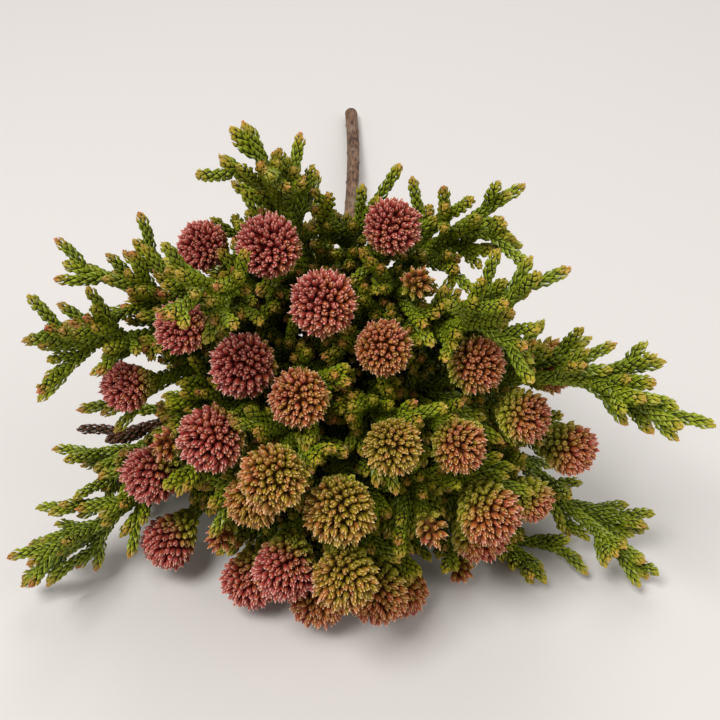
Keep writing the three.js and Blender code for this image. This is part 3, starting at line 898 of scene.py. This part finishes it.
def strew(name, scale, places, facts, material):
    """One piece of many copies of a scale, each at its own foot, with its own size and directions"""
    points, faces = scale
    local = points[None] * places["size"][:, None]
    side = np.cross(places["out"], places["along"])
    spots = places["foot"][:, None] + local[..., 0:1] * side[:, None]
    spots = spots + local[..., 1:2] * places["out"][:, None] + local[..., 2:3] * places["along"][:, None]
    spots = spots.reshape(-1, 3) + SHIFT
    spots[:, 2] = np.maximum(spots[:, 2], TABLE_GAP)
    count = len(places["foot"])
    firsts = np.arange(count)[:, None] * len(points)
    polygons = [corners for face in faces for corners in (firsts + np.array(face)).tolist()]
    mesh = bpy.data.meshes.new(name)
    mesh.from_pydata((spots * MM).tolist(), [], polygons)
    # A fact is given for each scale or, of a single one, for each of its points
    facts = {key: np.repeat(values, len(spots) // len(values)) for key, values in facts.items()}
    tip = points[:, 2] == points[:, 2].max()
    facts["reach"] = facts.get("reach", np.tile(points[:, 2] / points[:, 2].max(), count))
    facts["edge"] = np.tile(np.where(tip, 1, np.abs(points[:, 0]) / np.abs(points[:, 0]).max()), count)
    for fact, values in facts.items():
        layer = mesh.attributes.new(fact, "FLOAT", "POINT")
        layer.data.foreach_set("value", values.astype(np.float32))
    mesh.materials.append(material)
    return add_object(name, mesh)


def lifted(points):
    """Points of a leafy twig, raised so far that its lower leaves lie on the table"""
    raised = np.array(points, float)
    raised[..., 2] = LOOKS_LOW + np.logaddexp(0, (raised[..., 2] - LOOKS_LOW) * LOOKS_SHARP) / LOOKS_SHARP
    return raised


def even_run(twig):
    """Shares of a twig and how far along it each lies, in millimetres"""
    shares = np.linspace(twig.begin, 1, RUN_POINTS)
    return shares, run_along(twig.point(shares))


def around(twig, shares, turn):
    """The directions along a twig at some shares of it and out of it, each turned on by the golden angle"""
    along = twig.tangent(shares)
    chord = twig.point(1.0) - twig.point(twig.begin)
    right = unit(np.cross(along, np.eye(3)[np.argmin(np.abs(chord))]))
    angle = (np.arange(len(shares)) * GOLDEN_ANGLE + turn)[:, None]
    return along, right * np.cos(angle) + np.cross(along, right) * np.sin(angle)


def lifted_off(along, out, lift):
    """A direction lifted by an angle towards another square to it, and that one turned back with it"""
    return along * np.cos(lift) + out * np.sin(lift), out * np.cos(lift) - along * np.sin(lift)


def withered_places(axis):
    """Where the last dry leaves stand on the upper end of the woody stalk, fewer the lower down"""
    dice = np.random.default_rng(SEEDS["withered"])
    tone, size, wobble = dice.uniform(-1, 1, (3, WITHERED_COUNT))
    down = WITHERED_REACH * dice.random(WITHERED_COUNT) ** WITHERED_THINNING
    shares = WOOD_SHARE - down / axis.length()
    along, out = around(axis, shares, 0)
    lift = np.radians(WITHERED_LIFT * (WITHERED_LIFT_LEAST + wobble))[:, None]
    direction, back = lifted_off(along, out, lift)
    none = np.zeros(WITHERED_COUNT)
    length = WITHERED_LENGTH + WITHERED_LENGTH_SPREAD * size
    places = {
        "foot": axis.point(shares) + out * (WOOD_RADIUS_TOP - WITHERED_DEPTH),
        "out": back,
        "along": direction,
        "size": np.stack([none + WITHERED_WIDTH, none + 1, length], axis=1),
    }
    return places, {"age": none, "blush": none, "tone": tone, "dry": none + 1, "red": none}


def leaf_places(twig, number, look):
    """Where the leaves of one twig stand, one after another round it by the golden angle"""
    fine, run = even_run(twig)
    thick = (twig.foot + twig.tip) / 2 / SHOOT_CORE
    count = max(FEWEST_LEAVES, round(run[-1] * look.per_mm * thick))
    gone = (np.arange(count) + LEAF_START) / count
    run_to = gone * run[-1]
    left = run[-1] - run_to
    shares = np.interp(run_to, run, fine)
    along, out = around(twig, shares, number)
    dice = np.random.default_rng(SEEDS["leaves"] + number)
    wobble, tone, size = dice.uniform(-1, 1, (3, count))
    core = (twig.foot + (twig.tip - twig.foot) * gone) * CORE_SHARE
    lift = LEAF_LIFT + LEAF_LIFT_SPREAD * wobble
    length = 1 + LEAF_LENGTH_SPREAD * size
    if not twig.headed:
        rounding = np.clip(left / END_ROUNDING, 0, 1)
        core = core * np.sqrt(1 - (1 - rounding) ** 2 * END_NARROWING)
        lift = lift * rounding - END_LEAN * (1 - rounding) ** END_LEAN_POWER
        length = length * (END_LEAF + (1 - END_LEAF) * rounding)
    direction, back = lifted_off(along, out, np.radians(lift)[:, None])
    places = {
        "foot": lifted(twig.point(shares)) + out * core[:, None],
        "out": back,
        "along": direction,
        "size": np.stack([np.full(count, thick**0.5), np.ones(count), length], axis=1),
    }
    old, young = FRESHNESS[twig.kind]
    strength = np.clip(BLUSH_LEAST + (1 - BLUSH_LEAST) * noise(number, 62), 0, 1)
    blush = strength * np.clip(1 - left / BLUSH_LENGTH, 0, 1) ** BLUSH_POWER
    dry = np.full(count, float(twig.dry))
    if twig.kind == "axis":
        dry = np.clip(DRYNESS - run_to / DRYNESS_LENGTH + DRYNESS_SPREAD * tone, 0, 1)
    elif twig.kind in ("head_branch", "branch"):
        brown = BROWNING - run_to / BROWNING_LENGTH + BROWNING_SPREAD * tone
        dry = np.maximum(dry, np.clip(brown, 0, BROWNING_MOST))
    red = RED_ENDS - RED_ENDS_SLOPE * (twig.point(1.0)[0] - CROWN[0]) + RED_ENDS_SPREAD * spread(number, 63)
    facts = {
        "age": old + (young - old) * gone**FRESHNESS_POWER + FRESHNESS_SPREAD * spread(number, 61),
        "blush": np.zeros(count) if twig.headed else blush,
        "tone": tone,
        "dry": dry,
        "red": np.full(count, np.clip(red, 0, 1)),
    }
    return places, facts


def joined(found):
    """Several pairs of places and facts as one pair"""
    pair = zip(*found)
    return [{key: np.concatenate([part[key] for part in parts]) for key in parts[0]} for parts in pair]


def rods(name, lines, material):
    """Round rods along lines of points, each point with its radius, from one bevelled curve"""
    curve = bpy.data.curves.new(name, "CURVE")
    curve.dimensions = "3D"
    curve.bevel_depth = MM
    curve.bevel_resolution = 0
    curve.use_fill_caps = True
    for points, radii in lines:
        spline = curve.splines.new("POLY")
        spline.points.add(len(points) - 1)
        spline.points.foreach_set("co", np.column_stack([points * MM, np.ones(len(points))]).ravel())
        spline.points.foreach_set("radius", radii)
    only(add_object(name, curve))
    bpy.ops.object.convert(target="MESH")
    rod = bpy.context.object
    with picked(rod, "VERT", lambda vertex: True):
        bpy.ops.mesh.remove_doubles(threshold=SAME_POINT * MM)
        bpy.ops.mesh.normals_make_consistent(inside=False)
    rod.data.materials.clear()
    rod.data.materials.append(material)
    return rod


def ride_as(piece, slot, *nodes):
    """The piece moves with the stem and stands for solids, which are hidden. The slot is not used"""
    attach(piece, "root")
    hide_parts(*nodes)


def level_of(height):
    """A height on a head, in head radii, as a level from its neck at 0 to its top at 1"""
    return (height - HEAD_FOOT) / (CORE_TOP - HEAD_FOOT)


def at_level(level, row):
    return np.interp(level, BRACT_LEVELS, row)


def square_to(along, directions):
    """The parts of directions that are square to others, as unit vectors"""
    return unit(directions - along * (directions * along).sum(axis=1, keepdims=True))


def meridian():
    """Points along the outline of a head's core from its top to its foot, with the direction up along it"""
    corners = np.array(CORE_OUTLINE)[::-1]
    run = run_along(corners)
    even = np.linspace(0, run[-1], MERIDIAN_POINTS)
    outline = np.stack([np.interp(even, run, column) for column in corners.T], axis=1)
    upward = -np.gradient(outline, axis=0)
    padded = np.pad(upward, ((MERIDIAN_BLUR, MERIDIAN_BLUR), (0, 0)), mode="edge")
    window = np.ones(2 * MERIDIAN_BLUR + 1)
    upward = np.stack([np.convolve(column, window, mode="valid") for column in padded.T], axis=1)
    return outline, unit(upward)


def leaned(upward, lift):
    """A direction along the outline of a head, lifted from it by an angle, and the direction of its back"""
    return lifted_off(upward, np.stack([-upward[:, 1], upward[:, 0]], axis=1), lift)


def tuft_rows(count):
    """Height and distance from the axis of each tuft of a head, from its top to its neck, and the direction
    up the outline there. The tufts stand closer towards the top of the head"""
    outline, upward = meridian()
    level = level_of(outline[:, 0])
    lift = np.radians(at_level(level, BRACT_LIFTS))[:, None]
    reach = at_level(level, BRACT_LENGTHS)[:, None] * BRACT_LENGTH / HEAD_RADIUS
    tips = outline + leaned(upward, lift)[0] * reach
    width = (tips[1:, 1] + tips[:-1, 1]).clip(LEAST_WIDTH, None)
    space = lengths_of(np.diff(tips, axis=0))[:, 0] * width * at_level(level[1:], BRACT_SHARES)
    filled = np.concatenate([[0], np.cumsum(space)]) / space.sum()
    gone = (np.arange(count) + TUFT_START) / count
    return [np.interp(gone, filled, column) for column in (*outline.T, *upward.T)]


def bract_places(head, number, look):
    """Where the bracts of one head stand: tufts of three in a spiral from its top to its neck"""
    radius, axis, young = head.radius, head.direction, head.young
    count = look.young_tufts if young else look.tufts
    tall, wide, rising, widening = tuft_rows(count)
    dice = np.random.default_rng(SEEDS["bracts"] + number)
    wobble, sway, tone, size = dice.uniform(-1, 1, (4, count))
    level = level_of(tall)
    lift = np.radians(at_level(level, BRACT_LIFTS) + BRACT_WOBBLE * wobble)[:, None]
    flat_along, flat_out = leaned(np.stack([rising, widening], axis=1), lift)
    angle = (np.arange(count) * GOLDEN_ANGLE + number)[:, None]
    ring = sideways(axis, 0.0) * np.cos(angle) + sideways(axis, math.pi / 2) * np.sin(angle)
    swaying = np.cross(axis, ring) * (BRACT_SWAY * sway[:, None])
    along = unit(axis * flat_along[:, 0:1] + ring * flat_along[:, 1:2] + swaying)
    out = square_to(along, axis * flat_out[:, 0:1] + ring * flat_out[:, 1:2])
    wide = wide * (YOUNG_SLIM if young else 1)
    foot = head.centre + axis * (tall * radius)[:, None] + ring * (wide * radius)[:, None]
    scale = YOUNG_SCALE if young else radius / HEAD_RADIUS
    length = at_level(level, BRACT_LENGTHS) * radius / HEAD_RADIUS
    length = length * (YOUNG_LENGTH + YOUNG_LENGTH_SPREAD * size if young else 1 + BRACT_SIZE_SPREAD * size)
    width = at_level(level, BRACT_WIDTHS) * scale * (1 + BRACT_SIZE_SPREAD * wobble)
    thickness = at_level(level, BRACT_THICKNESSES) * scale
    facing = along @ sunny_side(head)
    tuft = {"foot": foot, "along": along, "out": out, "size": np.stack([width, thickness, length], axis=1)}
    facts = {
        "ripe": level - unripe(head, number) + SUN_RIPENING * facing,
        "tone": tone,
        "red": redness(head, number) + SUN_BLUSH * facing + REDNESS_BY_TONE * tone,
    }
    return joined([in_tuft(tuft, facts, scale, member, dice) for member in range(len(TUFT_LENGTHS))])


def in_tuft(tuft, facts, scale, member, dice):
    """One bract of each tuft of a head. Those of a tuft stand round its middle line with their backs out"""
    count = len(tuft["foot"])
    stray, shorter, tone = dice.uniform(-1, 1, (3, count))
    place = member * 2 * math.pi / len(TUFT_LENGTHS)
    angle = (np.arange(count) * TUFT_TURN + place + TUFT_STRAY * stray)[:, None]
    away = np.cross(tuft["out"], tuft["along"]) * np.cos(angle) + tuft["out"] * np.sin(angle)
    along = unit(tuft["along"] - away * TUFT_CLOSING)
    length = tuft["size"][:, 2] * TUFT_LENGTHS[member] * (1 + TUFT_LENGTH_SPREAD * shorter)
    places = {
        "foot": tuft["foot"] + away * TUFT_RADIUS * scale,
        "along": along,
        "out": square_to(along, away),
        "size": np.column_stack([tuft["size"][:, :2], length]),
    }
    tone = (facts["tone"] + tone) / 2
    return places, {"ripe": facts["ripe"], "tone": tone, "red": facts["red"] + REDNESS_IN_TUFT * shorter}


def sunny_side(head):
    """The side of a head that the sun reaches: away from the middle of the spray, and to the left below"""
    offset = head.centre - CROWN
    outward = np.array([offset[0], 0, offset[2]]) / SPRAY_REACH
    return outward / max(1, np.linalg.norm(outward)) + SUN_LEAN


def unripe(head, number):
    """How much further up a head the living green reaches than on the heads in the middle"""
    if head.young:
        return UNRIPE_YOUNG
    to_right = np.clip((head.centre[0] - CROWN[0] - UNRIPE_FROM) / UNRIPE_RUN, 0, 1)
    return UNRIPE * to_right * (1 + UNRIPE_SPREAD * spread(number, 72))


def redness(head, number):
    """How red a head is, by its place in the spray"""
    right, _, above = head.centre - CROWN
    if head.young:
        part = "young"
    elif np.hypot(right, above) < MIDDLE_REACH:
        part = "middle"
    else:
        part = "left" if right < LEFT_FROM or above > TOP_FROM else "right"
    return REDNESS[part] + REDNESS_SPREAD * spread(number, 71)


def raise_scars(stalk, height):
    """Swells the bark at the knots and at the old leaf scars, which climb the stalk by the golden angle"""
    points = np.array([vertex.co for vertex in stalk.data.vertices]) / MM
    angle = np.arctan2(points[:, 1], points[:, 0])
    scars = []
    for k in range(SCAR_COUNT):
        share = (k + SCAR_START + SCAR_STRAY * spread(k, 71)) / SCAR_COUNT
        scars.append((share * SCAR_REACH, k * GOLDEN_ANGLE, 1))
    swell = np.zeros(len(points))
    for level, turn, size in (*scars, *KNOTS):
        aside = ((angle - turn + math.pi) % (2 * math.pi) - math.pi) * WOOD_RADIUS_TOP / (SCAR_WIDTH * size)
        away = np.hypot(aside, (points[:, 2] - level) / (SCAR_LENGTH * size))
        swell = np.maximum(swell, (1 - away) * size)
    layer = stalk.data.attributes.new("scar", "FLOAT", "POINT")
    layer.data.foreach_set("value", np.clip(swell * SCAR_EDGE + 1 - SCAR_EDGE, 0, 1))
    for step in SCAR_STEPS:
        with picked(stalk, "VERT", lambda vertex: swell[vertex.index] > step):
            bpy.ops.transform.shrink_fatten(value=height * SCAR_STEP_SHARE)


def stalk_guide(axis):
    """A curve along the bare part of the axis, and the guide points of that part"""
    a, b, c, _ = axis.guides
    first = a + (b - a) * WOOD_SHARE
    second = b + (c - b) * WOOD_SHARE
    path = [a, first, first + (second - first) * WOOD_SHARE, axis.point(WOOD_SHARE)]
    curve = bpy.data.curves.new("stalk_path", "CURVE")
    curve.dimensions = "3D"
    curve.resolution_u = GUIDE_STEPS
    spline = curve.splines.new("BEZIER")
    spline.bezier_points.add(1)
    ends = ((2 * path[0] - path[1], path[0], path[1]), (path[2], path[3], 2 * path[3] - path[2]))
    for knot, (left, middle, right) in zip(spline.bezier_points, ends):
        knot.handle_left_type = knot.handle_right_type = "FREE"
        knot.co = (middle + SHIFT) * MM
        knot.handle_left = (left + SHIFT) * MM
        knot.handle_right = (right + SHIFT) * MM
    return add_object("stalk_path", curve), path


def colour_of_user(name, description, code):
    return bpy.props.FloatVectorProperty(
        name=name, description=description, subtype="COLOR", size=4, min=0, max=1, default=srgb(code))


class NebeliaStalk(bpy.types.PropertyGroup):
    """Size and colours of the bare stalk"""

    scar_height: bpy.props.FloatProperty(
        name="Leaf scars", description="How far an old leaf scar stands out of the bark, in metres",
        default=0.00035, min=0, max=0.001, subtype="DISTANCE", unit="LENGTH")
    bark: colour_of_user("Bark", "Colour of the bark between clefts and ridges", "#5C3D27")
    wood: colour_of_user("Wood", "Colour of the cut face", "#E2CE9C")


class NebeliaLeaves(bpy.types.PropertyGroup):
    """Number and colours of the scale leaves"""

    per_mm: bpy.props.FloatProperty(
        name="Leaves per millimetre", description="Scale leaves on a millimetre of shoot",
        default=4.6, min=0.5, max=6)
    variety: bpy.props.FloatProperty(
        name="Variety", description="How far one leaf's green differs from the next one's",
        default=0.12, min=0, max=0.5, subtype="FACTOR")
    old: colour_of_user("Old leaf", "Colour of the leaves at the foot of a twig", "#384C0A")
    middle: colour_of_user("Leaf", "Colour of the leaves half way", "#5A6C08")
    young: colour_of_user("Young leaf", "Colour of the leaves at the end of a shoot", "#98A414")
    margin: colour_of_user("Margin", "Colour of a leaf's dry margin and tip", "#AFB92E")


class NebeliaHeads(bpy.types.PropertyGroup):
    """Number and colours of the bracts"""

    tufts: bpy.props.IntProperty(
        name="Tufts", description="Tufts of bracts on a ripe head", default=145, min=40, max=200)
    young_tufts: bpy.props.IntProperty(
        name="Young tufts", description="Tufts of bracts on a young head", default=26, min=10, max=60)
    variety: bpy.props.FloatProperty(
        name="Variety", description="How far one bract's tone differs from the next one's",
        default=0.14, min=0, max=0.5, subtype="FACTOR")
    ochre_tip: colour_of_user("Ochre tip", "Colour of bract tips in the middle", "#F0CE84")
    russet_tip: colour_of_user("Russet tip", "Colour of bract tips to the right", "#F2C8A2")
    crimson_tip: colour_of_user("Crimson tip", "Colour of bract tips to the left", "#F6C8B8")


class NEBELIA_OT_stalk(bpy.types.Operator):
    """Bends a rod along the stalk, swells it at the old leaf scars and sets a cut face in its end"""

    bl_idname = "nebelia.stalk"
    bl_label = "Woody stalk"

    def execute(self, context):
        look = context.scene.nebelia_stalk
        guide, path = stalk_guide(TWIGS[0])
        length = Twig(path, 1, 1, "axis").length() * MM
        stalk, _ = ring_rod(STALK_SIDES, STALK_RINGS, WOOD_RADIUS_CUT * MM, WOOD_RADIUS_TOP * MM, length)
        stalk.name = "stalk"
        raise_scars(stalk, look.scar_height)
        with picked(stalk, "FACE", lambda face: face.normal.z < -SQUARE_TO):
            bpy.ops.mesh.inset(thickness=BARK_THICKNESS * MM)
            bpy.ops.mesh.inset(thickness=SAWN_EDGE * MM, depth=-SAWN_DEPTH * MM)
        bend = stalk.modifiers.new("bend", "CURVE")
        bend.object = guide
        bend.deform_axis = "POS_Z"
        only(stalk)
        bpy.ops.object.modifier_apply(modifier="bend")
        bpy.data.objects.remove(guide)
        with picked(stalk, "VERT", lambda vertex: vertex.co.z < TABLE_GAP * MM):
            bpy.ops.transform.resize(value=(1, 1, 0), center_override=(0, 0, TABLE_GAP * MM))
        bpy.ops.object.shade_smooth_by_angle(angle=BARK_CREASE)
        stalk.data.materials.append(bark_material(look))
        stalk.data.materials.append(cut_wood_material(look, ((CUT_END + SHIFT) * MM).tolist()))
        # Of the faces that look out of the cut end, only the sawn one has more than four corners
        for face in stalk.data.polygons:
            face.material_index = int(face.normal.y > SQUARE_TO and len(face.vertices) > 4)
        ride_as(stalk, "bark", "woody_stalk")
        return {"FINISHED"}


class NEBELIA_OT_leaves(bpy.types.Operator):
    """Models a scale leaf, lays it along every twig and puts the twigs' bark under the leaves"""

    bl_idname = "nebelia.leaves"
    bl_label = "Leafy twigs"

    def execute(self, context):
        look = context.scene.nebelia_leaves
        scale = model_scale(LEAF_SIDES, LEAF_RINGS, LEAF_LENGTH)
        material = leaf_material(look)
        for name, kinds, turn, turns in LEAF_PIECES:
            chosen = [k for k, twig in enumerate(TWIGS) if twig.kind in kinds][turn::turns]
            found = [leaf_places(TWIGS[k], k, look) for k in chosen]
            if "axis" in kinds:
                found.append(withered_places(TWIGS[0]))
            ride_as(strew(name, scale, *joined(found), material), "leaf", "leafy_spray")
        lines = []
        for twig in TWIGS:
            steps = max(FEWEST_STEPS, round(even_run(twig)[1][-1] / CORE_STEP))
            gone = np.linspace(0, 1, steps + 1)
            radii = (twig.foot + (twig.tip - twig.foot) * gone) * CORE_SHARE
            if not twig.headed:
                radii[-1] *= CORE_TIP
            lines.append((lifted(twig.point(np.linspace(twig.begin, 1, steps + 1))) + SHIFT, radii))
        ride_as(rods("twig_cores", lines, twig_bark_material()), "leaf", "leafy_spray")
        return {"FINISHED"}


class NEBELIA_OT_heads(bpy.types.Operator):
    """Models a bract and a head's core, and sets the bracts in tufts on the core of every flower head"""

    bl_idname = "nebelia.heads"
    bl_label = "Flower heads"

    def execute(self, context):
        look = context.scene.nebelia_heads
        scale = model_scale(BRACT_SIDES, BRACT_RINGS, BRACT_LENGTH)
        core_shape = studded_core()
        core_level = level_of(core_shape[0][:, 2])
        material = bract_material(look)
        for k, head in enumerate(HEADS):
            name = f"flower_head_{k + 1:02d}"
            piece = strew(name, scale, *bract_places(head, k, look), material)
            width = head.radius * (YOUNG_SLIM if head.young else 1)
            place = {
                "foot": head.centre[None],
                "out": sideways(head.direction, 0.0)[None],
                "along": head.direction[None],
                "size": np.array([[width, width, head.radius]]),
            }
            # The core is coloured as a bract near its foot, dark: painted shade in the gaps between the
            # tufts
            facts = {
                "ripe": core_level - unripe(head, k),
                "tone": np.zeros(1),
                "red": np.array([redness(head, k)]),
                "reach": np.array([CORE_PAINTED_SHADE_REACH]),
            }
            only(piece, strew(name + "_core", core_shape, place, facts, material))
            bpy.ops.object.join()
            ride_as(piece, "bract", f"head_{k + 1:02d}")
        return {"FINISHED"}


class NEBELIA_OT_stage(bpy.types.Operator):
    """Sets the floor, the lights and the camera"""

    bl_idname = "nebelia.stage"
    bl_label = "Stage"

    def execute(self, context):
        bpy.ops.object.select_all(action="DESELECT")
        bpy.ops.mesh.primitive_plane_add(size=FLOOR_SIZE, location=(0, 0, 0))
        floor = context.object
        floor.name = "floor"
        # Pale matt paper, with no pattern that would show from here
        floor.data.materials.append(finish("pale_paper", lambda add: srgb(PAPER), roughness=0.9))
        world = bpy.data.worlds.new("studio")
        world.use_nodes = True
        light = {"Color": srgb(STUDIO_WHITE), "Strength": WORLD_STRENGTH}
        fill(world.node_tree, world.node_tree.nodes["Background"], light)
        context.scene.world = world
        for name, (place, size, power) in LIGHTS.items():
            light = bpy.data.lights.new(name, "AREA")
            light.size = size
            light.energy = power
            lamp = add_object(name, light)
            lamp.location = place
            aim = Vector(LIGHT_TARGET) - lamp.location
            lamp.rotation_euler = aim.to_track_quat("-Z", "Y").to_euler()
        camera = add_object("camera", bpy.data.cameras.new("camera"))
        back = Vector((0, -math.cos(CAMERA_ELEVATION), math.sin(CAMERA_ELEVATION)))
        camera.location = Vector(CAMERA_TARGET) + back * CAMERA_DISTANCE
        camera.rotation_euler = (-back).to_track_quat("-Z", "Y").to_euler()
        camera.data.sensor_width = SENSOR_WIDTH
        camera.data.angle = CAMERA_ANGLE
        camera.data.clip_start = NEAREST_SEEN
        context.scene.camera = camera
        context.scene.view_settings.view_transform = "Standard"
        return {"FINISHED"}


class NEBELIA_PT_panel(bpy.types.Panel):
    """The steps of the stem, in order"""

    bl_label = "Nebelia stem"
    bl_idname = "NEBELIA_PT_panel"
    bl_space_type = "VIEW_3D"
    bl_region_type = "UI"
    bl_category = "Nebelia"

    def draw(self, context):
        for step in STEPS:
            self.layout.operator(step.bl_idname)


STEPS = (NEBELIA_OT_stalk, NEBELIA_OT_leaves, NEBELIA_OT_heads, NEBELIA_OT_stage)
GROUPS = {"nebelia_stalk": NebeliaStalk, "nebelia_leaves": NebeliaLeaves, "nebelia_heads": NebeliaHeads}
CLASSES = (*GROUPS.values(), *STEPS, NEBELIA_PT_panel)


def register():
    for cls in CLASSES:
        bpy.utils.register_class(cls)
    for name, group in GROUPS.items():
        setattr(bpy.types.Scene, name, bpy.props.PointerProperty(type=group))


def unregister():
    for name in GROUPS:
        delattr(bpy.types.Scene, name)
    for cls in reversed(CLASSES):
        bpy.utils.unregister_class(cls)


def main():
    register()
    bpy.ops.nebelia.stalk()
    bpy.ops.nebelia.leaves()
    bpy.ops.nebelia.heads()
    bpy.ops.nebelia.stage()


if __name__ == "__main__":
    main()
